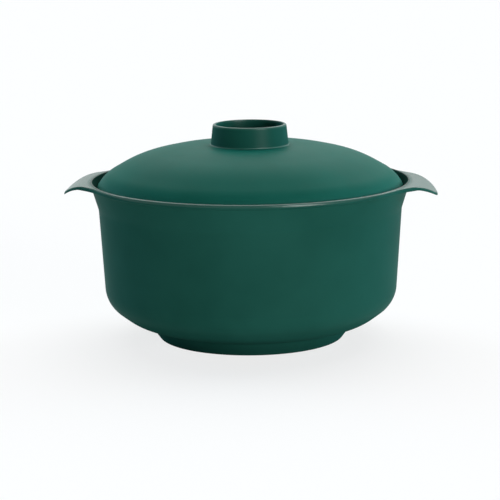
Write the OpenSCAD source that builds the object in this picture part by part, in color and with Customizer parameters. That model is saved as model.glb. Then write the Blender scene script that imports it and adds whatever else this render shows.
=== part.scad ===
// Lidded serving bowl: a moulded bowl with two curled ear handles, and a loose lid with a ring knob.
// Millimetres, +Z up. The origin is on the bowl's axis, on the table under the foot.
// The handles lie along X, and the lid is drawn in its seat.

/* [Bowl] */
// outside diameter of the rim
rim_d = 176; // [165:1:190]
// height of the rim above the table
bowl_h = 87; // [80:1:100]
// wall thickness of the shell
wall = 2.4; // [2:0.1:3]
// slope of the side wall from upright, in degrees
wall_slope = 3.5; // [2:0.1:5]
// height of the flared band below the rim
flare_h = 15; // [13:0.5:20]
// slope of the flared band from upright, in degrees
flare_slope = 16.4; // [13:0.1:19]
// height of the corner where the side wall turns in to the base
turn_h = 20.9; // [18:0.1:25]
// radius of that turn on the outside
turn_r = 16; // [12:0.5:18]
// how far the base sags below a straight line from the foot to the turn
base_bow = 3; // [2:0.1:4]
// thickness of the floor at the middle
floor_t = 2.5; // [2:0.1:3.5]

/* [Rim] */
// height of the upright lip round the rim
lip_h = 2.4; // [2:0.1:4]
// width of the rim's top face
lip_w = 2; // [1.8:0.1:2.6]
// rounding of the rim's outer top edge
lip_round = 1.3; // [0.6:0.1:1.5]
// overhang of the lip past the flared band
lip_over = 1.5; // [0.8:0.1:2]
// depth of the lid's ledge below the rim
seat_depth = 7; // [5:0.5:8]
// width of the ledge that carries the lid
seat_w = 2; // [1.5:0.1:3]

/* [Foot] */
// outside diameter of the foot ring at the table
foot_d = 100.5; // [90:0.5:108]
// height of the foot ring
foot_h = 8; // [6:0.1:9]
// slope of the foot ring's outside from upright, in degrees
foot_slope = 36.5; // [25:0.5:42]
// width of the foot ring at the table
foot_w = 4.6; // [3.5:0.1:8]
// depth of the hollow under the floor, inside the foot ring
recess_h = 8; // [6:0.1:8.6]
// diameter of the shallow dimple that the moulding gate leaves
gate_d = 7; // [4:0.5:10]

/* [Handles] */
// how far each handle reaches past the rim
handle_out = 14.2; // [10:0.2:17]
// radius of the rounded ear seen from above
ear_r = 32; // [24:0.5:38]
// radius of the hollow curve from ear to rim
root_r = 55; // [30:1:90]
// upright thickness of the handle at the rim
handle_t = 1.6; // [1.4:0.1:2.2]
// upright thickness of the handle at its tip
tip_t = 1.5; // [1.2:0.1:1.8]
// radius of the handle's downward curl
curl_r = 20.5; // [19:0.5:30]
// how far inside the rim the curl starts
curl_in = 1; // [0:0.5:3]
// step from the rim's top down to the handle's top
handle_step = 0.3; // [0.2:0.05:0.4]

/* [Lid] */
// thickness of the lid
lid_t = 2.2; // [1.8:0.1:3]
// gap round the lid's edge in the rim
lid_gap = 0.4; // [0.3:0.1:0.7]
// height of the crown above the lid's seat
crown_h = 25.9; // [24:0.1:30]
// rise of the crown towards the knob
crown_rise = 0.6; // [0.2:0.1:2]
// width of the gentle band from the crown out to the shoulder
gentle_w = 24; // [18:0.5:28]
// width of the sloping band from the shoulder out to the steep edge
slope_w = 17.2; // [15:0.1:21]
// height of the shoulder above the lid's seat
shoulder_h = 20.5; // [18.5:0.1:21.5]
// height of the steep edge above the lid's seat
brow_h = 10.6; // [9:0.1:12]
// width of the steep edge
brow_w = 4.4; // [3:0.1:5.5]
// height of the near-upright skirt below the steep edge
skirt_h = 4.6; // [3.5:0.1:5.5]
// how far the skirt widens from its lower edge up to the steep edge
skirt_out = 0.6; // [0.2:0.1:1]

/* [Knob] */
// outside diameter of the ring knob at its top
knob_d = 40; // [34:1:50]
// height of the ring knob above the crown
knob_h = 10.9; // [8:0.1:16]
// slope of the knob's sides, in degrees
knob_slope = 6.5; // [3:0.5:10]
// wall thickness of the knob at its top
knob_wall = 1.5; // [1.4:0.1:3]
// rounding of the knob's top edge on the outside
knob_round = 0.9; // [0.5:0.1:0.9]
// radius of the fillet from the knob to the dome
knob_fillet = 0.8; // [0.7:0.1:2.5]

/* [Hidden] */
$fn = 96;

// radius of the crease between the side wall and the flared band
crease_r = 10;
// how much of its run each blend of the dome takes
crown_share = 0.4;
shoulder_share = 0.58;
brow_share = 0.7;
skirt_share = 0.15;
// radii of the small edges and fillets
fine_r = 0.4;
edge_r = 0.7;
foot_round = 1.6;
foot_fillet = 4.5;
fillet_r = 1.5;
// moulding draft of the hollow under the floor and of the knob's well, in degrees
recess_draft = 6;
well_draft = 3;
// where the base bends, as a share of the way from the foot to the turn
bend_share = 0.4;
// how much the mouth narrows from the rim down to the ledge
mouth_taper = 2.9;
// how far the lip's underside slopes down to the flared band
lip_drop = 0.4;
// depth of the gate's dimple
gate_deep = 0.5;
// how far a handle runs into the rim, and how far cutting shapes run past
handle_in = 1;
cut = 1;
// how far the chords of a divided arc may lie off the arc
arc_sag = 0.02;

rim_r = rim_d / 2;
seat_z = bowl_h - seat_depth;
flare_z = bowl_h - flare_h;
lip_z = bowl_h - lip_h;
flare_top_r = rim_r - lip_over;
wall_top_r = flare_top_r - (lip_z - flare_z) * tan(flare_slope);
turn_x = wall_top_r - (flare_z - turn_h) * tan(wall_slope);
foot_r = foot_d / 2;
foot_top_r = foot_r + foot_h * tan(foot_slope);
foot_in_r = foot_r - foot_w;
recess_r = foot_in_r - recess_h * tan(recess_draft);

// the base bends once between the foot and the turn
bend_x = foot_top_r + bend_share * (turn_x - foot_top_r);
bend_z = foot_h + bend_share * (turn_h - foot_h) - base_bow;
bend_r = turn_x - foot_top_r;

// the mouth narrows from the rim down to the ledge, and the lid follows it
mouth_r = rim_r - lip_w;
pocket_r = mouth_r - mouth_taper;
ledge_r = pocket_r - seat_w;
lid_r = pocket_r - lid_gap;
skirt_x = lid_r + skirt_out;
brow_x = skirt_x - brow_w;
shoulder_x = brow_x - slope_w;
crown_x = shoulder_x - gentle_w;

floor_z = recess_h + floor_t;
crown_z = seat_z + crown_h;
apex_z = crown_z + crown_rise;

// the knob stands on the dome, which falls from the apex out to the crown
knob_z = apex_z + knob_h;
knob_in_r = knob_d / 2 - knob_wall;
knob_base_r = knob_d / 2 + knob_h * tan(knob_slope);
knob_base_z = apex_z - crown_rise * knob_base_r / crown_x;
well_floor_r = knob_in_r - knob_h * tan(well_draft);

// centre of a handle's hollow root curve, which touches the rim and the ear
ear_x = rim_r + handle_out - ear_r;
root_x = (pow(rim_r + root_r, 2) - pow(ear_r + root_r, 2) + pow(ear_x, 2)) / (2 * ear_x);
root_y = sqrt(pow(rim_r + root_r, 2) - pow(root_x, 2));
rim_a = atan2(root_y, root_x);
ear_a = atan2(root_y, root_x - ear_x);

// a handle's underside is a flatter arc than its top, so that the handle thins towards its tip
curl_x = rim_r - curl_in;
curl_z = bowl_h - handle_step - curl_r;
reach = handle_out + curl_in;
low_drop = curl_r - sqrt(pow(curl_r, 2) - pow(reach, 2)) - handle_t + tip_t;
low_r = (pow(reach, 2) + pow(low_drop, 2)) / (2 * low_drop);
low_z = bowl_h - handle_step - handle_t - low_r;

function unit(v) = v / norm(v);
function xy(p) = [p[0], p[1]];
function turned(v) = [-v[1], v[0]];

// half the angle between the two runs that meet at b
function half_angle(a, b, c) = acos(unit(xy(a) - xy(b)) * unit(xy(c) - xy(b))) / 2;

// a corner rounded so that its arc takes up the given run on both sides
function eased(a, b, c, run) = [b[0], b[1], run * tan(half_angle(a, b, c))];

// number of chords that an arc is divided into
function chords(r, sweep) = max(2, ceil(sweep / (2 * acos(1 - arc_sag / r))));

// the points of one corner, rounded by the radius in its third value
function corner(a, b, c) =
    let (
        u = unit(xy(a) - xy(b)),
        w = unit(xy(c) - xy(b)),
        half = half_angle(a, b, c),
        centre = xy(b) + unit(u + w) * b[2] / sin(half),
        from = xy(b) + u * b[2] / tan(half) - centre,
        way = sign(u[0] * w[1] - u[1] * w[0]),
        sweep = 180 - 2 * half,
        steps = chords(b[2], sweep),
        start = atan2(from[1], from[0])
    )
    [for (i = [0:steps]) centre + b[2] * [cos(start - way * sweep * i / steps),
                                          sin(start - way * sweep * i / steps)]];

// points on an arc from angle a to angle b
function arc(centre, r, a, b) =
    let (steps = chords(r, abs(b - a)))
    [for (i = [0:steps]) centre + r * [cos(a + (b - a) * i / steps), sin(a + (b - a) * i / steps)]];

// a closed outline of [x, y, radius] points with its corners rounded
function rounded(p) =
    let (n = len(p))
    [for (i = [0:n - 1]) each (p[i][2] > 0 ? corner(p[(i + n - 1) % n], p[i], p[(i + 1) % n]) : [xy(p[i])])];

// one corner of a path moved to the left of its run by the thickness t, with its radius changed to suit
function moved(a, b, c, t, r) =
    let (
        w = turned(unit(xy(c) - xy(b))),
        u = turned(unit(xy(b) - xy(a))),
        q = xy(b) + t * (u + w) / (1 + u * w)
    )
    [q[0], q[1], r];

// the shell's outside from the foot up to the lip, and its inside one wall thickness away
foot_top = [foot_top_r, foot_h, foot_fillet];
bend = [bend_x, bend_z, bend_r];
turn = [turn_x, turn_h, turn_r];
crease = [wall_top_r, flare_z, crease_r];
flare_top = [flare_top_r, lip_z - lip_drop, edge_r];
bend_in = moved(foot_top, bend, turn, wall, bend_r - wall);
turn_in = moved(bend, turn, crease, wall, turn_r - wall);
crease_in = moved(turn, crease, flare_top, wall, crease_r + wall);

// the lid's outside from the knob down to its edge, and its underside
apex = [0, apex_z];
crown_at = [crown_x, crown_z];
shoulder_at = [shoulder_x, seat_z + shoulder_h];
brow_at = [brow_x, seat_z + brow_h];
skirt_at = [skirt_x, seat_z + skirt_h];
edge = [lid_r, seat_z, fine_r];
steep_h = brow_h - skirt_h;
crown = eased(apex, crown_at, shoulder_at, crown_share * gentle_w);
shoulder = eased(crown_at, shoulder_at, brow_at, shoulder_share * min(gentle_w, slope_w));
brow = eased(shoulder_at, brow_at, skirt_at, brow_share * steep_h);
skirt = eased(brow_at, skirt_at, edge, skirt_share * steep_h);
crown_in = moved(apex, crown, shoulder, -lid_t, crown[2] - lid_t);
shoulder_in = moved(crown, shoulder, brow, -lid_t, shoulder[2] - lid_t);
brow_in = moved(shoulder, brow, skirt, -lid_t, brow[2] - lid_t);
skirt_in = moved(brow, skirt, edge, -lid_t, fine_r);

module bowl_section() {
    polygon(rounded([
        [0, floor_z, 0],
        [0, recess_h + gate_deep, 0],
        [gate_d / 2, recess_h, 0],
        [recess_r, recess_h, fillet_r],
        [foot_in_r, 0, edge_r],
        [foot_r, 0, foot_round],
        foot_top,
        bend,
        turn,
        crease,
        flare_top,
        [rim_r, lip_z, fine_r],
        [rim_r, bowl_h, lip_round],
        [mouth_r, bowl_h, fine_r],
        [pocket_r, seat_z, fine_r],
        [ledge_r, seat_z, fine_r],
        crease_in,
        turn_in,
        bend_in
    ]));
}

module handle_plan() {
    polygon(concat(
        arc([ear_x, 0], ear_r, -ear_a, ear_a),
        arc([root_x, root_y], root_r, 180 + ear_a, 180 + rim_a),
        [[rim_r / 2, 0]],
        arc([root_x, -root_y], root_r, 180 - rim_a, 180 - ear_a)
    ));
}

// side view under an arc that starts level at the curl's start
module under_arc(z, r, past) {
    translate([curl_x, z])
        circle(r = r, $fn = 240);
    translate([curl_x - 2 * handle_out - past, z - past])
        square([2 * handle_out + past, r + past]);
}

// side view of a handle, between its top arc and its underside arc
module curl_side() {
    difference() {
        under_arc(curl_z, curl_r, 0);
        under_arc(low_z, low_r, cut);
        translate([curl_x - low_r - cut, curl_z - curl_r - low_r])
            square([2 * (low_r + cut), low_r + curl_r - tip_t]);
    }
}

module handle() {
    difference() {
        intersection() {
            linear_extrude(height = bowl_h + cut)
                handle_plan();
            rotate([90, 0, 0])
                linear_extrude(height = rim_d, center = true)
                    curl_side();
        }
        cylinder(r = rim_r - handle_in, h = bowl_h + 2 * cut, $fn = 240);
    }
}

module bowl() {
    color([0.05, 0.30, 0.24])
        union() {
            rotate_extrude($fn = 240)
                bowl_section();
            handle();
            rotate([0, 0, 180])
                handle();
        }
}

module lid_section() {
    polygon(rounded([
        [0, crown_in[1] + crown_rise, 0],
        [0, apex_z - gate_deep, 0],
        [gate_d / 2, apex_z, 0],
        [well_floor_r, apex_z, fillet_r],
        [knob_in_r, knob_z, fine_r],
        [knob_d / 2, knob_z, knob_round],
        [knob_base_r, knob_base_z, knob_fillet],
        crown,
        shoulder,
        brow,
        skirt,
        edge,
        [lid_r - lid_t, seat_z, fine_r],
        skirt_in,
        brow_in,
        shoulder_in,
        crown_in
    ]));
}

module lid() {
    color([0.07, 0.33, 0.27])
        rotate_extrude($fn = 240)
            lid_section();
}

bowl();
lid();
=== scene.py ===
"""Lidded serving bowl: a moulded bowl with two curled ear handles, and a loose lid with a ring knob.

Metres, in the CAD model's frame: +Z up, the handles along X, the lid in its seat.
Both mouldings are turned from their sections by one node tree, which also draws out the handles.
"""

import math

import bmesh
import bpy
from mathutils import Matrix, Vector


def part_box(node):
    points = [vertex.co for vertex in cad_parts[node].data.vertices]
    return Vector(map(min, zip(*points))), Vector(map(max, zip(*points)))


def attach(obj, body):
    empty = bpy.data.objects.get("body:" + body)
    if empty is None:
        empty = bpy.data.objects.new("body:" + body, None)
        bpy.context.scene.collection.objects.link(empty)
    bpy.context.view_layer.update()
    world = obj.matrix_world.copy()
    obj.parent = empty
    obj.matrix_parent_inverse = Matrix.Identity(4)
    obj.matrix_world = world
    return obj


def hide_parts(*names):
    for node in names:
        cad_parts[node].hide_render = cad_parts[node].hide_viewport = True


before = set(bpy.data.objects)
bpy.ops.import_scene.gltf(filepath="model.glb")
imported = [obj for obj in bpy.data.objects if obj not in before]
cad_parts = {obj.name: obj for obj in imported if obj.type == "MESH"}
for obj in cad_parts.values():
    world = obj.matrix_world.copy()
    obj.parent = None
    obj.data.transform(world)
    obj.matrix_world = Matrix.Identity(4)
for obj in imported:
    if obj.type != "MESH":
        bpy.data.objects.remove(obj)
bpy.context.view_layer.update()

MM = 0.001

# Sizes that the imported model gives
bowl_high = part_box("bowl")[1]
lid_low, lid_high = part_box("lid")
rim_r = bowl_high.y
rim_z = bowl_high.z
handle_out = bowl_high.x - rim_r
seat_z = lid_low.z
knob_z = lid_high.z

# Bowl
wall = 2.4 * MM
wall_slope = math.radians(3.5)
flare_h = 15 * MM
flare_slope = math.radians(16.4)
turn_z = 20.9 * MM
turn_r = 16 * MM
base_bow = 3 * MM
bend_share = 0.4
floor_t = 2.5 * MM
crease_r = 10 * MM

# Rim
lip_h = 2.4 * MM
lip_w = 2 * MM
lip_round = 1.3 * MM
lip_over = 1.5 * MM
lip_drop = 0.4 * MM
mouth_taper = 2.9 * MM
seat_w = 2 * MM

# Foot
foot_r = 50.25 * MM
foot_h = 8 * MM
foot_slope = math.radians(36.5)
foot_w = 4.6 * MM
foot_round = 1.6 * MM
foot_fillet = 4.5 * MM
recess_h = 8 * MM
recess_draft = math.radians(6)

# Handles
ear_r = 32 * MM
root_r = 55 * MM
curl_r = 20.5 * MM
curl_in = 1 * MM
handle_t = 1.6 * MM
thin_run = 4 * MM
tip_t = 1.5 * MM
handle_step = 0.3 * MM
handle_round = 0.2 * MM

# Lid
lid_t = 2.2 * MM
lid_gap = 0.4 * MM
crown_h = 25.9 * MM
crown_rise = 0.6 * MM
gentle_w = 24 * MM
shoulder_h = 20.5 * MM
slope_w = 17.2 * MM
brow_h = 10.6 * MM
brow_w = 4.4 * MM
skirt_h = 4.6 * MM
skirt_out = 0.6 * MM
crown_share = 0.4
shoulder_share = 0.58
brow_share = 0.7
skirt_share = 0.15

# Knob
knob_r = 20 * MM
knob_wall = 1.5 * MM
knob_slope = math.radians(6.5)
well_draft = math.radians(3)
knob_round = 0.9 * MM
knob_fillet = 0.8 * MM

# The lid's seat in the mouth
pocket_r = rim_r - lip_w - mouth_taper
lid_r = pocket_r - lid_gap

# Small edges, and the dimple with a nub that the moulding gate leaves
edge_r = 0.7 * MM
fine_r = 0.4 * MM
fillet_r = 1.5 * MM
gate_r = 3.5 * MM
gate_deep = 0.5 * MM
nub_r = 0.8 * MM
nub_h = 0.25 * MM

# How finely the sections are drawn
turns = 384
arc_sag = 0.006 * MM
longest_row = 4 * MM
handle_steps = 14
tip_steps = 4
merge_gap = 0.001 * MM

# The spread of a row that has no part in a handle
no_handle = -1

# Plastic of both mouldings: sizes of its clouds of pigment, speckle and waves
plastic_ior = 1.5
cloud_size = 45 * MM
cloud_low = 0.25
cloud_high = 0.75
speckle_size = 0.9 * MM
speckle_share = 0.2
wave_size = 14 * MM
dullness_change = 0.08

# Bowl's finish
bowl_deep = (0.0085, 0.0600, 0.0455, 1)
bowl_pale = (0.0118, 0.0740, 0.0570, 1)
bowl_patch = 20 * MM
bowl_grain = 0.55 * MM
bowl_grain_depth = 0.004 * MM
bowl_wave_depth = 0.015 * MM
bowl_dullness = 0.42
bowl_shine = 0.007
bowl_coat = 0.58
bowl_coat_dullness = 0.22

# The polished lip starts higher up beside the handles than in front
lip_polish = 0.7
polish_smooths = 0.12
band_front_x = 55 * MM
band_side_x = 75 * MM
band_rise = lip_round * 0.6

# The lid's pocket with its painted shade, the base below the turn, and scuffs on the foot
painted_pocket_shade = (0.002, 0.014, 0.011, 1)
pocket_shade_share = 0.6
hidden_dulls = 0.45
below_run = 8 * MM
scuffed_green = (0.06, 0.15, 0.13, 1)
scuff_share = 0.35
scuff_size = 2.5 * MM
scuff_low = 0.35
scuff_high = 0.7
scuff_full_z = 0.1 * MM
scuff_end_z = 0.9 * MM

# Lid's finish, with painted light that makes its lower edge paler
lid_deep = (0.0020, 0.0690, 0.0505, 1)
lid_pale = (0.0042, 0.0850, 0.0640, 1)
lid_edge_painted_light = (0.0110, 0.1060, 0.0800, 1)
lid_edge_light_share = 0.8
lid_patch = 24 * MM
lid_grain = 0.5 * MM
lid_grain_depth = 0.006 * MM
lid_wave_depth = 0.01 * MM
lid_dullness = 0.48
lid_shine = 0.02
lid_coat_dullness = 0.4

# Knob's finish, with painted shade that makes the knob darker, and depths below its top
knob_painted_shade = (0.0055, 0.0600, 0.0450, 1)
knob_shade_share = 0.8
knob_dulls = 0.35
knob_coat = 0.07
knob_depth = 10.4 * MM
knob_fade = 1 * MM
top_edge_smooths = 0.2
top_edge_coat = 0.25
top_edge_depth = 0.4 * MM
top_edge_fade = 1 * MM
fillet_coat = 0.4
fillet_fade = 0.05 * MM

# Studio
white = (1, 1, 1)
side_blue = (0.42, 0.78, 1)
surround_light = 0.02
floor_half = 8
floor_drop = 0.2 * MM
fibre_size = 3 * MM
paper_deep = (0.72, 0.72, 0.72, 1)
paper_pale = (0.74, 0.74, 0.74, 1)
floor_grey = (0.25, 0.25, 0.25, 1)
floor_white_share = 0.78
floor_glow = 0.56
foot_glow = 0.5
glow_start_r = 52 * MM
glow_full_r = 95 * MM

# Camera, worked out from the ellipses of knob, rim and foot
camera_azimuth = math.radians(4)
camera_elevation = math.radians(10.75)
camera_distance = 1.1
camera_aim_z = 47.5 * MM
camera_aside = 0.385 * MM
camera_roll = math.radians(0.53)
camera_lens = 144
camera_sensor = 36


class Value:
    """An output socket of a tree. Arithmetic on it adds Math nodes."""

    def __init__(self, tree, socket):
        self.tree = tree
        self.socket = socket

    def math(self, operation, *others):
        inputs = dict(enumerate((self, *others)))
        return self.tree.node("ShaderNodeMath", {"operation": operation}, inputs)

    def from_number(self, operation, number):
        return self.tree.node("ShaderNodeMath", {"operation": operation}, {0: number, 1: self})

    def output(self, name):
        return Value(self.tree, self.socket.node.outputs[name])

    def __add__(self, other):
        return self.math("ADD", other)

    def __radd__(self, other):
        return self.from_number("ADD", other)

    def __sub__(self, other):
        return self.math("SUBTRACT", other)

    def __rsub__(self, other):
        return self.from_number("SUBTRACT", other)

    def __mul__(self, other):
        return self.math("MULTIPLY", other)

    def __rmul__(self, other):
        return self.from_number("MULTIPLY", other)

    def __truediv__(self, other):
        return self.math("DIVIDE", other)

    def __rtruediv__(self, other):
        return self.from_number("DIVIDE", other)

    def __lt__(self, other):
        return self.math("LESS_THAN", other)

    def __gt__(self, other):
        return self.math("GREATER_THAN", other)

    def __abs__(self):
        return self.math("ABSOLUTE")

    def root(self):
        return self.math("MAXIMUM", 0).math("SQRT")

    def larger(self, other):
        return self.math("MAXIMUM", other)


class Tree:
    """A node tree. node() adds any node: its settings first, then the values or links of its sockets."""

    def __init__(self, nodes):
        self.nodes = nodes
        self.entry = None

    def node(self, kind, settings=None, inputs=None, output=0):
        made = self.nodes.nodes.new(kind)
        for name, setting in (settings or {}).items():
            setattr(made, name, setting)
        for name, given in (inputs or {}).items():
            if isinstance(given, Value):
                self.nodes.links.new(given.socket, made.inputs[name])
            else:
                made.inputs[name].default_value = given
        return Value(self, made.outputs[output]) if made.outputs else None

    def size(self, name, kind="NodeSocketFloat"):
        """A named input of the tree."""
        self.nodes.interface.new_socket(name, in_out="INPUT", socket_type=kind)
        if self.entry is None:
            self.entry = self.node("NodeGroupInput")
        return self.entry.output(name)


# Sections: points in the plane of radius and height

def arc_points(centre, radius, start, end):
    """Points on an arc, close enough together that its chords sag by no more than arc_sag."""
    step = 2 * math.acos(1 - arc_sag / radius)
    count = max(2, math.ceil(abs(end - start) / step))
    angles = [start + (end - start) * i / count for i in range(count + 1)]
    return [centre + radius * Vector((math.cos(a), math.sin(a))) for a in angles]


def half_angle(back, ahead):
    """Half the angle between the two directions that leave a corner."""
    return math.acos(max(-1, min(1, back.dot(ahead)))) / 2


def eased(before, corner, after, run):
    """A corner with the rounding whose arc takes up the given run on both sides."""
    at = Vector(corner)
    back = (Vector(before) - at).normalized()
    ahead = (Vector(after) - at).normalized()
    return (*corner, run * math.tan(half_angle(back, ahead)))


def round_corner(before, corner, after):
    """The arc that rounds one corner of a path by the radius in its third value."""
    at = Vector(corner[:2])
    back = (Vector(before[:2]) - at).normalized()
    ahead = (Vector(after[:2]) - at).normalized()
    half = half_angle(back, ahead)
    radius = corner[2]
    centre = at + (back + ahead).normalized() * radius / math.sin(half)
    first = at + back * radius / math.tan(half) - centre
    start = math.atan2(first.y, first.x)
    way = 1 if back.x * ahead.y - back.y * ahead.x < 0 else -1
    return arc_points(centre, radius, start, start + way * (math.pi - 2 * half))


def drawn(path):
    """An open path of (radius, height, rounding) corners as points, its long straights divided."""
    points = [Vector(path[0][:2])]
    for before, corner, after in zip(path, path[1:], path[2:]):
        points += round_corner(before, corner, after)
    points.append(Vector(path[-1][:2]))
    rows = [points[0]]
    for point in points[1:]:
        pieces = max(1, math.ceil((point - rows[-1]).length / longest_row))
        start = rows[-1]
        rows += [start.lerp(point, (i + 1) / pieces) for i in range(pieces)]
    return rows


def offset_corner(before, corner, after, thickness, radius):
    """A corner moved to the left of its path by a wall's thickness."""
    run_in = (Vector(corner[:2]) - Vector(before[:2])).normalized()
    run_out = (Vector(after[:2]) - Vector(corner[:2])).normalized()
    left_in = Vector((-run_in.y, run_in.x))
    left_out = Vector((-run_out.y, run_out.x))
    moved = Vector(corner[:2]) + thickness * (left_in + left_out) / (1 + left_in.dot(left_out))
    return (moved.x, moved.y, radius)


def gate_mark(z, way):
    """Corners of the gate's dimple, from the axis outwards. way is 1 for a dimple that goes up."""
    deep = z + way * gate_deep
    return [
        (0, deep - way * nub_h),
        (nub_r, deep - way * nub_h, nub_h / 2),
        (nub_r + nub_h / 2, deep, nub_h / 2),
        (gate_r, z, gate_r / 2),
    ]


def spaced(start, end, count):
    """Numbers from start to end, closer together at both ends."""
    return [start + (end - start) * (1 - math.cos(math.pi * i / count)) / 2 for i in range(count + 1)]


def bowl_rows():
    """The bowl's section as (radius, height, spread), from under its floor round to the inside.
    Spread is the share of the handle's reach that a row goes out by."""
    lip_z = rim_z - lip_h
    flare_z = rim_z - flare_h
    flare_top_r = rim_r - lip_over
    wall_top_r = flare_top_r - (lip_z - flare_z) * math.tan(flare_slope)
    turn_x = wall_top_r - (flare_z - turn_z) * math.tan(wall_slope)
    foot_top_r = foot_r + foot_h * math.tan(foot_slope)
    foot_in_r = foot_r - foot_w
    recess_r = foot_in_r - recess_h * math.tan(recess_draft)
    floor_z = recess_h + floor_t
    base_w = turn_x - foot_top_r

    foot_top = (foot_top_r, foot_h, foot_fillet)
    bend = (foot_top_r + bend_share * base_w, foot_h + bend_share * (turn_z - foot_h) - base_bow, base_w)
    turn = (turn_x, turn_z, turn_r)
    crease = (wall_top_r, flare_z, crease_r)
    flare_top = (flare_top_r, lip_z - lip_drop, edge_r)
    bend_in = offset_corner(foot_top, bend, turn, wall, base_w - wall)
    turn_in = offset_corner(bend, turn, crease, wall, turn_r - wall)
    crease_in = offset_corner(turn, crease, flare_top, wall, crease_r + wall)

    # a handle comes out of the lip between its rounded lower edge and a step below the rim's top
    low_edge = round_corner(flare_top, (rim_r, lip_z, fine_r), (rim_r, rim_z))
    outside = drawn([
        *gate_mark(recess_h, 1),
        (recess_r, recess_h, fillet_r),
        (foot_in_r, 0, edge_r),
        (foot_r, 0, foot_round),
        foot_top,
        bend,
        turn,
        crease,
        flare_top,
        low_edge[0],
    ])
    rows = [(p.x, p.y, no_handle) for p in outside]

    # the handle's underside, its rounded outer edge and its top
    edge_share = handle_round / handle_out
    lip_centre = Vector((rim_r - lip_round, rim_z - lip_round))
    rows += [(low_edge[0].x, low_edge[0].y, s) for s in spaced(0, 1 - edge_share, handle_steps)]
    for i, p in enumerate(low_edge):
        rows.append((p.x, p.y, 1 - edge_share * (1 - math.sin(math.pi / 2 * i / (len(low_edge) - 1)))))
    top_rise = rim_z - handle_step - lip_centre.y
    for i in range(tip_steps + 1):
        a = math.pi / 2 * i / tip_steps
        rise = top_rise * math.sin(a)
        out = lip_centre.x + math.sqrt(lip_round ** 2 - rise ** 2)
        rows.append((out, lip_centre.y + rise, 1 - edge_share * (1 - math.cos(a))))
    rows += [(*rows[-1][:2], s) for s in spaced(1 - edge_share, 0, handle_steps)[1:]]

    # the rest of the lip, the ledge and the inside
    lip_arc = arc_points(lip_centre, lip_round, math.asin(top_rise / lip_round), math.pi / 2)
    inside = drawn([
        (lip_centre.x, rim_z),
        (rim_r - lip_w, rim_z, fine_r),
        (pocket_r, seat_z, fine_r),
        (pocket_r - seat_w, seat_z, fine_r),
        crease_in,
        turn_in,
        bend_in,
        (0, floor_z),
    ])
    return rows + [(p.x, p.y, no_handle) for p in lip_arc + inside[1:]]


def lid_rows():
    """The lid's section as (radius, height, spread), from the knob's well round to the underside."""
    crown_z = seat_z + crown_h
    apex_z = crown_z + crown_rise
    skirt_x = lid_r + skirt_out
    brow_x = skirt_x - brow_w
    shoulder_x = brow_x - slope_w
    crown_x = shoulder_x - gentle_w
    knob_h = knob_z - apex_z
    knob_base_r = knob_r + knob_h * math.tan(knob_slope)
    knob_base_z = apex_z - crown_rise * knob_base_r / crown_x
    knob_in_r = knob_r - knob_wall
    steep_h = brow_h - skirt_h

    apex = (0, apex_z)
    crown_at = (crown_x, crown_z)
    shoulder_at = (shoulder_x, seat_z + shoulder_h)
    brow_at = (brow_x, seat_z + brow_h)
    skirt_at = (skirt_x, seat_z + skirt_h)
    edge_at = (lid_r, seat_z)
    crown = eased(apex, crown_at, shoulder_at, crown_share * gentle_w)
    shoulder = eased(crown_at, shoulder_at, brow_at, shoulder_share * min(gentle_w, slope_w))
    brow = eased(shoulder_at, brow_at, skirt_at, brow_share * steep_h)
    skirt = eased(brow_at, skirt_at, edge_at, skirt_share * steep_h)
    crown_in = offset_corner(apex, crown, shoulder, -lid_t, crown[2] - lid_t)
    shoulder_in = offset_corner(crown, shoulder, brow, -lid_t, shoulder[2] - lid_t)
    brow_in = offset_corner(shoulder, brow, skirt, -lid_t, brow[2] - lid_t)
    skirt_in = offset_corner(brow, skirt, edge_at, -lid_t, fine_r)

    outline = drawn([
        *gate_mark(apex_z, -1),
        (knob_in_r - knob_h * math.tan(well_draft), apex_z, fillet_r),
        (knob_in_r, knob_z, fine_r),
        (knob_r, knob_z, knob_round),
        (knob_base_r, knob_base_z, knob_fillet),
        crown,
        shoulder,
        brow,
        skirt,
        (*edge_at, fine_r),
        (lid_r - lid_t, seat_z, fine_r),
        skirt_in,
        brow_in,
        shoulder_in,
        crown_in,
        (0, crown_in[1] + crown_rise),
    ])
    return [(p.x, p.y, no_handle) for p in outline]


# Turning

def handle_reach(tree, rim, reach, across, along):
    """How far out a handle's edge is at an angle from its axis, seen from above. The ear is one circle,
    and a hollow root curve on each side touches both the ear and the rim."""
    ear = tree.size("Ear Radius")
    hollow = tree.size("Root Radius")
    ear_x = rim + reach - ear
    far = rim + hollow
    near = ear + hollow
    root_x = (far * far - near * near + ear_x * ear_x) / (2 * ear_x)
    root_y = (far * far - root_x * root_x).root()
    ear_tilt = root_y.math("ARCTAN2", root_x - ear_x)
    touch_x = ear_x + ear * ear_tilt.math("COSINE")
    touch_y = ear * ear_tilt.math("SINE")

    off_ear = ear_x * across
    ear_edge = ear_x * along + (ear * ear - off_ear * off_ear).root()
    off_root = root_x * across - root_y * along
    root_edge = root_x * along + root_y * across - (hollow * hollow - off_root * off_root).root()

    angle = across.math("ARCTAN2", along)
    on_ear = angle < touch_y.math("ARCTAN2", touch_x)
    on_handle = angle < root_y.math("ARCTAN2", root_x)
    edge = root_edge + on_ear * (ear_edge - root_edge)
    return on_handle * (edge - rim)


def sag(radius, past):
    """How far an arc has fallen at a distance past its level start."""
    return radius - (radius * radius - past * past).root()


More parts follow.
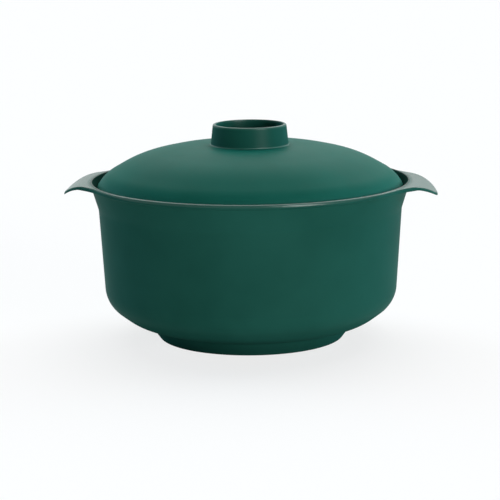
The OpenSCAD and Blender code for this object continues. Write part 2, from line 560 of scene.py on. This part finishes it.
def handle_curl(tree, rim, reach, across_root, height):
    """How far a place on a handle curls down. Past the rim the handle thins from the lip's height, and
    its underside's arc is flatter than its top's, so that it thins on towards its tip."""
    top = tree.size("Curl Radius")
    start = tree.size("Curl Start")
    root_t = tree.size("Root Thickness")
    full = reach + start
    tip_sag = sag(top, full) - root_t + tree.size("Tip Thickness")
    low = (full * full + tip_sag * tip_sag) / (2 * tip_sag)
    past = (across_root - rim + start).larger(0)
    lip_t = tree.size("Lip Thickness")
    depth = ((tree.size("Handle Top") - height) / lip_t).larger(0).math("MINIMUM", 1)
    thinned = ramp(tree, past - start, 0, tree.size("Thinning Run"))
    return sag(top, past) + depth * (sag(low, past) - sag(top, past) - thinned * (lip_t - root_t))


def turning_tree(name, with_handles):
    """Turns a section about Z. With handles, the rows that have a spread reach out and curl down."""
    tree = Tree(bpy.data.node_groups.new(name, "GeometryNodeTree"))
    section = tree.size("Section", "NodeSocketGeometry")
    steps = tree.size("Turns", "NodeSocketInt")
    finish = tree.size("Finish", "NodeSocketMaterial")
    gap = tree.size("Merge Gap")

    counts = tree.node("GeometryNodeAttributeDomainSize", {"component": "MESH"}, {"Geometry": section})
    rows = counts.output("Point Count")
    grid = tree.node("GeometryNodeMeshGrid", {}, {"Vertices X": steps + 1, "Vertices Y": rows}, "Mesh")
    index = tree.node("GeometryNodeInputIndex")
    # half an index more keeps the division clear of a whole number
    column = ((index + 0.5) / rows).math("FLOOR")
    row = index - column * rows
    place = tree.node(
        "GeometryNodeSampleIndex",
        {"data_type": "FLOAT_VECTOR"},
        {"Geometry": section, "Value": tree.node("GeometryNodeInputPosition"), "Index": row},
    )
    split = tree.node("ShaderNodeSeparateXYZ", {}, {"Vector": place})
    radius = split.output("X")
    height = split.output("Z")

    angle = column / steps * math.tau
    cosine = angle.math("COSINE")
    sine = angle.math("SINE")
    if with_handles:
        spread = tree.node("GeometryNodeInputNamedAttribute", {"data_type": "FLOAT"}, {"Name": "spread"})
        share = tree.node(
            "GeometryNodeSampleIndex",
            {"data_type": "FLOAT"},
            {"Geometry": section, "Value": spread, "Index": row},
        )
        rim = tree.size("Rim Radius")
        reach = tree.size("Handle Reach")
        radius = radius + share.larger(0) * handle_reach(tree, rim, reach, abs(sine), abs(cosine))
        curl = handle_curl(tree, rim, reach, radius * abs(cosine), height)
        height = height - (share > no_handle / 2) * curl

    moved = tree.node("ShaderNodeCombineXYZ", {}, {"X": radius * cosine, "Y": radius * sine, "Z": height})
    turned = tree.node("GeometryNodeSetPosition", {}, {"Geometry": grid, "Position": moved})
    closed = tree.node("GeometryNodeMergeByDistance", {}, {"Geometry": turned, "Distance": gap})
    smooth = tree.node("GeometryNodeSetShadeSmooth", {}, {"Geometry": closed})
    real = tree.node("GeometryNodeRealizeInstances", {}, {"Geometry": smooth})
    painted = tree.node("GeometryNodeSetMaterial", {}, {"Geometry": real, "Material": finish})
    tree.nodes.interface.new_socket("Moulding", in_out="OUTPUT", socket_type="NodeSocketGeometry")
    tree.node("NodeGroupOutput", {}, {"Moulding": painted})
    return tree.nodes


def turned_moulding(name, rows, tree, sizes):
    """A closed moulding turned from its section, as a plain mesh with its faces outwards."""
    mesh = bpy.data.meshes.new(name + "_section")
    mesh.from_pydata([(x, 0, z) for x, z, spread in rows], [(i, i + 1) for i in range(len(rows) - 1)], [])
    spreads = mesh.attributes.new("spread", "FLOAT", "POINT")
    spreads.data.foreach_set("value", [spread for x, z, spread in rows])
    moulding = bpy.data.objects.new(name, mesh)
    bpy.context.scene.collection.objects.link(moulding)
    turning = moulding.modifiers.new("turning", "NODES")
    turning.node_group = tree
    for socket in tree.interface.items_tree:
        if socket.in_out == "INPUT" and socket.name in sizes:
            turning[socket.identifier] = sizes[socket.name]

    moulding.update_tag()
    evaluated = moulding.evaluated_get(bpy.context.evaluated_depsgraph_get())
    turned = bpy.data.meshes.new_from_object(evaluated)
    turned.name = name
    moulding.modifiers.remove(turning)
    moulding.data = turned
    bpy.data.meshes.remove(mesh)

    shell = bmesh.new()
    shell.from_mesh(turned)
    bmesh.ops.recalc_face_normals(shell, faces=shell.faces)
    shell.to_mesh(turned)
    shell.free()
    return moulding


# Finishes

def new_material(name):
    """A material and its empty tree."""
    material = bpy.data.materials.new(name)
    material.use_nodes = True
    material.node_tree.nodes.clear()
    return material, Tree(material.node_tree)


def noise(tree, place, size, detail=2.0, roughness=0.5):
    """Soft random values around 0.5, with features of the given size in metres."""
    return tree.node(
        "ShaderNodeTexNoise",
        {"noise_dimensions": "3D"},
        {"Vector": place, "Scale": 1 / size, "Detail": detail, "Roughness": roughness},
        "Fac",
    )


def ramp(tree, value, low, high):
    """0 below low, 1 above high, with a smooth rise between them."""
    return tree.node(
        "ShaderNodeMapRange",
        {"interpolation_type": "SMOOTHSTEP"},
        {"Value": value, "From Min": low, "From Max": high},
    )


def blend(tree, share, first, second):
    """A colour between two colours."""
    colour_a = 6
    colour_b = 7
    colour_out = 2
    inputs = {"Factor": share, colour_a: first, colour_b: second}
    return tree.node("ShaderNodeMix", {"data_type": "RGBA"}, inputs, colour_out)


def around_axis(tree, place):
    """Distance along X, radius and height of a place on a turned moulding."""
    split = tree.node("ShaderNodeSeparateXYZ", {}, {"Vector": place})
    x = split.output("X")
    y = split.output("Y")
    return x, (x * x + y * y).root(), split.output("Z")


def moulded_green(tree, place, deep, pale):
    """Pigmented plastic: clouds of pigment and a fine speckle."""
    clouds = noise(tree, place, cloud_size, detail=3, roughness=0.55)
    speckle = noise(tree, place, speckle_size, detail=2, roughness=0.6)
    cloudy = ramp(tree, clouds, cloud_low, cloud_high)
    return blend(tree, cloudy * (1 - speckle_share) + speckle * speckle_share, deep, pale)


def patchy(tree, place, size, least):
    """A dullness that rises a little in patches of the given size."""
    return noise(tree, place, size, detail=3, roughness=0.6) * dullness_change + least


def moulded_skin(tree, place, grain, grain_depth, wave_depth):
    """Normals of a moulded surface: a fine grain over slight long waves."""
    fine = noise(tree, place, grain, detail=2, roughness=0.6)
    waves = noise(tree, place, wave_size, detail=1, roughness=0.5)
    slow = tree.node("ShaderNodeBump", {}, {"Strength": 1, "Distance": wave_depth, "Height": waves})
    return tree.node(
        "ShaderNodeBump",
        {},
        {"Strength": 1, "Distance": grain_depth, "Height": fine, "Normal": slow},
    )


def plastic_surface(tree, sockets):
    """Ends a material in moulded plastic, with the given sockets of its shader."""
    sockets = {"IOR": plastic_ior, "Coat IOR": plastic_ior, **sockets}
    surface = tree.node("ShaderNodeBsdfPrincipled", {}, sockets)
    tree.node("ShaderNodeOutputMaterial", {}, {"Surface": surface})


def bowl_plastic():
    """Satin green plastic: polished on the lip and on top of the handles, dull and darkened with painted
    shade in the lid's pocket, dull below the turn and scuffed where the foot stands."""
    material, tree = new_material("bowl_plastic")
    place = tree.node("ShaderNodeTexCoord", output="Object")
    along, radius, height = around_axis(tree, place)

    mouth_r = rim_r - lip_w
    band_z = ramp(tree, abs(along), band_front_x, band_side_x) * band_rise + (rim_z - lip_round)
    on_lip = ramp(tree, radius, mouth_r, mouth_r + fine_r) * ramp(tree, height - band_z, -fine_r, 0)
    past_rim = (abs(along) - (rim_r - curl_in)).larger(0)
    handle_top = rim_z - handle_step
    top_face = ramp(tree, height + sag(curl_r, past_rim), handle_top - fine_r, handle_top - fine_r / 4)
    on_handle = top_face * ramp(tree, radius, rim_r, rim_r + edge_r)
    polished = (on_lip * lip_polish).larger(on_handle)

    below_turn = 1 - ramp(tree, height, turn_z - below_run, turn_z)
    inside_r = (height - seat_z) * (mouth_taper / (rim_z - seat_z)) + pocket_r + wall / 2
    in_pocket = (radius < inside_r) * ramp(tree, height, rim_z - flare_h, seat_z)
    hidden = below_turn.larger(in_pocket)
    worn = ramp(tree, noise(tree, place, scuff_size, detail=4), scuff_low, scuff_high)
    stood_on = (1 - ramp(tree, height, scuff_full_z, scuff_end_z)) * worn

    body = moulded_green(tree, place, bowl_deep, bowl_pale)
    scuffed = blend(tree, stood_on * scuff_share, body, scuffed_green)
    dullness = patchy(tree, place, bowl_patch, bowl_dullness)
    plastic_surface(tree, {
        # painted shade: the lid's pocket is blended towards a dark green
        "Base Color": blend(tree, in_pocket * pocket_shade_share, scuffed, painted_pocket_shade),
        "Roughness": dullness - polished * polish_smooths + hidden * hidden_dulls,
        "Specular IOR Level": bowl_shine,
        "Coat Weight": polished * bowl_coat,
        "Coat Roughness": bowl_coat_dullness,
        "Normal": moulded_skin(tree, place, bowl_grain, bowl_grain_depth, bowl_wave_depth),
    })
    return material


def lid_plastic():
    """The same green with a finer matte skin: painted light makes it paler at the lid's edge and painted
    shade makes the knob darker; the knob is also duller, and it is glossier on the knob's top edge and on
    the fillet at its base."""
    material, tree = new_material("lid_plastic")
    place = tree.node("ShaderNodeTexCoord", output="Object")
    radius, height = around_axis(tree, place)[1:]
    fillet_z = seat_z + crown_h + crown_rise / 2
    fillet_top = fillet_z + knob_fillet
    above_dome = ramp(tree, height, fillet_z, fillet_z + fillet_fade) * (radius > knob_r)
    on_fillet = above_dome * (1 - ramp(tree, height, fillet_top - knob_fillet / 2, fillet_top))
    knob_low = knob_z - knob_depth
    on_knob = ramp(tree, height, knob_low - knob_fade, knob_low)
    top_edge_z = knob_z - top_edge_depth
    on_top_edge = ramp(tree, height, top_edge_z - top_edge_fade, top_edge_z)
    # painted light: the lid turns paler from its brow down to its lower edge
    edge_light_mask = 1 - ramp(tree, height, seat_z + skirt_h, seat_z + brow_h)

    dome = moulded_green(tree, place, lid_deep, lid_pale)
    dome_with_edge_light = blend(tree, edge_light_mask * lid_edge_light_share, dome, lid_edge_painted_light)
    dullness = patchy(tree, place, lid_patch, lid_dullness)
    knob_dullness = on_knob * (1 - on_top_edge) * knob_dulls - on_top_edge * top_edge_smooths
    plastic_surface(tree, {
        # painted shade: the knob is blended towards a darker green
        "Base Color": blend(tree, on_knob * knob_shade_share, dome_with_edge_light, knob_painted_shade),
        "Roughness": dullness + knob_dullness,
        "Specular IOR Level": lid_shine,
        "Coat Weight": on_knob * knob_coat + on_top_edge * top_edge_coat + on_fillet * fillet_coat,
        "Coat Roughness": lid_coat_dullness,
        "Normal": moulded_skin(tree, place, lid_grain, lid_grain_depth, lid_wave_depth),
    })
    return material


# Studio

def seen_directly(tree):
    """1 for camera rays, reflections and rays through clear things, and 0 for rays that only light."""
    path = tree.node("ShaderNodeLightPath")
    camera = path.output("Is Camera Ray")
    return camera.larger(path.output("Is Glossy Ray")).larger(path.output("Is Transmission Ray"))


def white_surround():
    """A world that looks white and lights softly."""
    world = bpy.data.worlds.new("white_surround")
    world.use_nodes = True
    world.node_tree.nodes.clear()
    tree = Tree(world.node_tree)
    soft = tree.node("ShaderNodeBackground", {}, {"Color": (*white, 1), "Strength": surround_light})
    seen = tree.node("ShaderNodeBackground", {}, {"Color": (*white, 1), "Strength": 1})
    mixed = tree.node("ShaderNodeMixShader", {}, {0: seen_directly(tree), 1: soft, 2: seen})
    tree.node("ShaderNodeOutputWorld", {}, {"Surface": mixed})
    bpy.context.scene.world = world


def pale_floor():
    """A wide plain floor just under the foot, pale to the eye and darker as a reflector of light.
    Away from the bowl and inside the foot it gives some light of its own. From below it is clear, so
    that the underside can be seen."""
    mesh = bpy.data.meshes.new("floor")
    ways = [(-1, -1), (1, -1), (1, 1), (-1, 1)]
    corners = [(x * floor_half, y * floor_half, -floor_drop) for x, y in ways]
    mesh.from_pydata(corners, [], [(0, 1, 2, 3)])
    floor = bpy.data.objects.new("floor", mesh)
    bpy.context.scene.collection.objects.link(floor)
    material, tree = new_material("floor_paper")
    place = tree.node("ShaderNodeTexCoord", output="Object")
    fibre = noise(tree, place, fibre_size, detail=3)
    paper = blend(tree, fibre, paper_deep, paper_pale)
    lit = tree.node("ShaderNodeBsdfDiffuse", {}, {"Color": paper})
    bright = tree.node("ShaderNodeEmission", {}, {"Color": (*white, 1), "Strength": 1})
    pale = tree.node("ShaderNodeMixShader", {}, {0: floor_white_share, 1: lit, 2: bright})

    radius = around_axis(tree, place)[1]
    open_floor = ramp(tree, radius, glow_start_r, glow_full_r)
    foot_in_r = foot_r - foot_w
    in_foot = 1 - ramp(tree, radius, foot_in_r - fillet_r, foot_in_r)
    lightness = open_floor * floor_glow + in_foot * foot_glow
    dim = tree.node("ShaderNodeBsdfDiffuse", {}, {"Color": floor_grey})
    glow = tree.node("ShaderNodeEmission", {}, {"Color": lightness, "Strength": 1})
    bounce = tree.node("ShaderNodeAddShader", {}, {0: dim, 1: glow})
    mixed = tree.node("ShaderNodeMixShader", {}, {0: seen_directly(tree), 1: bounce, 2: pale})

    from_below = tree.node("ShaderNodeNewGeometry", output="Backfacing")
    clear = tree.node("ShaderNodeBsdfTransparent")
    one_sided = tree.node("ShaderNodeMixShader", {}, {0: from_below, 1: mixed, 2: clear})
    tree.node("ShaderNodeOutputMaterial", {}, {"Surface": one_sided})
    mesh.materials.append(material)


def sun(name, azimuth, elevation, strength, width, colour, diffuse=True, glossy=True):
    """A wide soft sun, with angles in degrees. Azimuth is measured from the front, towards +X. A sun that
    isn't diffuse gives highlights only, and one that isn't glossy gives none."""
    lamp = bpy.data.lights.new(name, "SUN")
    lamp.energy = strength
    lamp.angle = math.radians(width)
    lamp.color = colour
    light = bpy.data.objects.new(name, lamp)
    bpy.context.scene.collection.objects.link(light)
    light.rotation_euler = (math.radians(90 - elevation), 0, math.radians(azimuth))
    light.visible_diffuse = diffuse
    light.visible_glossy = glossy


def place_camera():
    """The photograph's view: a long lens a little above the rim, slightly rolled."""
    level = math.cos(camera_elevation)
    back = Vector((
        math.sin(camera_azimuth) * level,
        -math.cos(camera_azimuth) * level,
        math.sin(camera_elevation),
    ))
    right = Vector((math.cos(camera_azimuth), math.sin(camera_azimuth), 0))
    aim = Vector((0, 0, camera_aim_z)) - right * camera_aside
    data = bpy.data.cameras.new("camera")
    data.lens = camera_lens
    data.sensor_width = camera_sensor
    camera = bpy.data.objects.new("camera", data)
    bpy.context.scene.collection.objects.link(camera)
    turn = (-back).to_track_quat("-Z", "Y").to_matrix().to_4x4()
    roll = Matrix.Rotation(-camera_roll, 4, "Z")
    camera.matrix_world = Matrix.Translation(aim + back * camera_distance) @ turn @ roll
    bpy.context.scene.camera = camera


bowl = turned_moulding(
    "moulded_bowl",
    bowl_rows(),
    turning_tree("turned_bowl", True),
    {
        "Turns": turns,
        "Finish": bowl_plastic(),
        "Merge Gap": merge_gap,
        "Rim Radius": rim_r,
        "Handle Reach": handle_out,
        "Ear Radius": ear_r,
        "Root Radius": root_r,
        "Curl Radius": curl_r,
        "Curl Start": curl_in,
        "Root Thickness": handle_t,
        "Lip Thickness": lip_h - handle_step,
        "Thinning Run": thin_run,
        "Tip Thickness": tip_t,
        "Handle Top": rim_z - handle_step,
    },
)
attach(bowl, "bowl_body")
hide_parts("bowl")

lid = turned_moulding(
    "moulded_lid",
    lid_rows(),
    turning_tree("turned_lid", False),
    {"Turns": turns, "Finish": lid_plastic(), "Merge Gap": merge_gap},
)
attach(lid, "lid_body")
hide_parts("lid")

white_surround()
pale_floor()
sun("key_from_right", azimuth=42, elevation=4, strength=3.25, width=28, colour=white)
sun("key_sheen", azimuth=42, elevation=36, strength=2.9, width=28, colour=white, diffuse=False)
sun("back_light", azimuth=176, elevation=56, strength=3.9, width=70, colour=white)
sun("left_edge_light", azimuth=-122, elevation=3, strength=4.2, width=44, colour=side_blue, glossy=False)
sun("right_edge_light", azimuth=122, elevation=3, strength=3.4, width=44, colour=side_blue, glossy=False)
place_camera()
bpy.context.scene.view_settings.view_transform = "Standard"
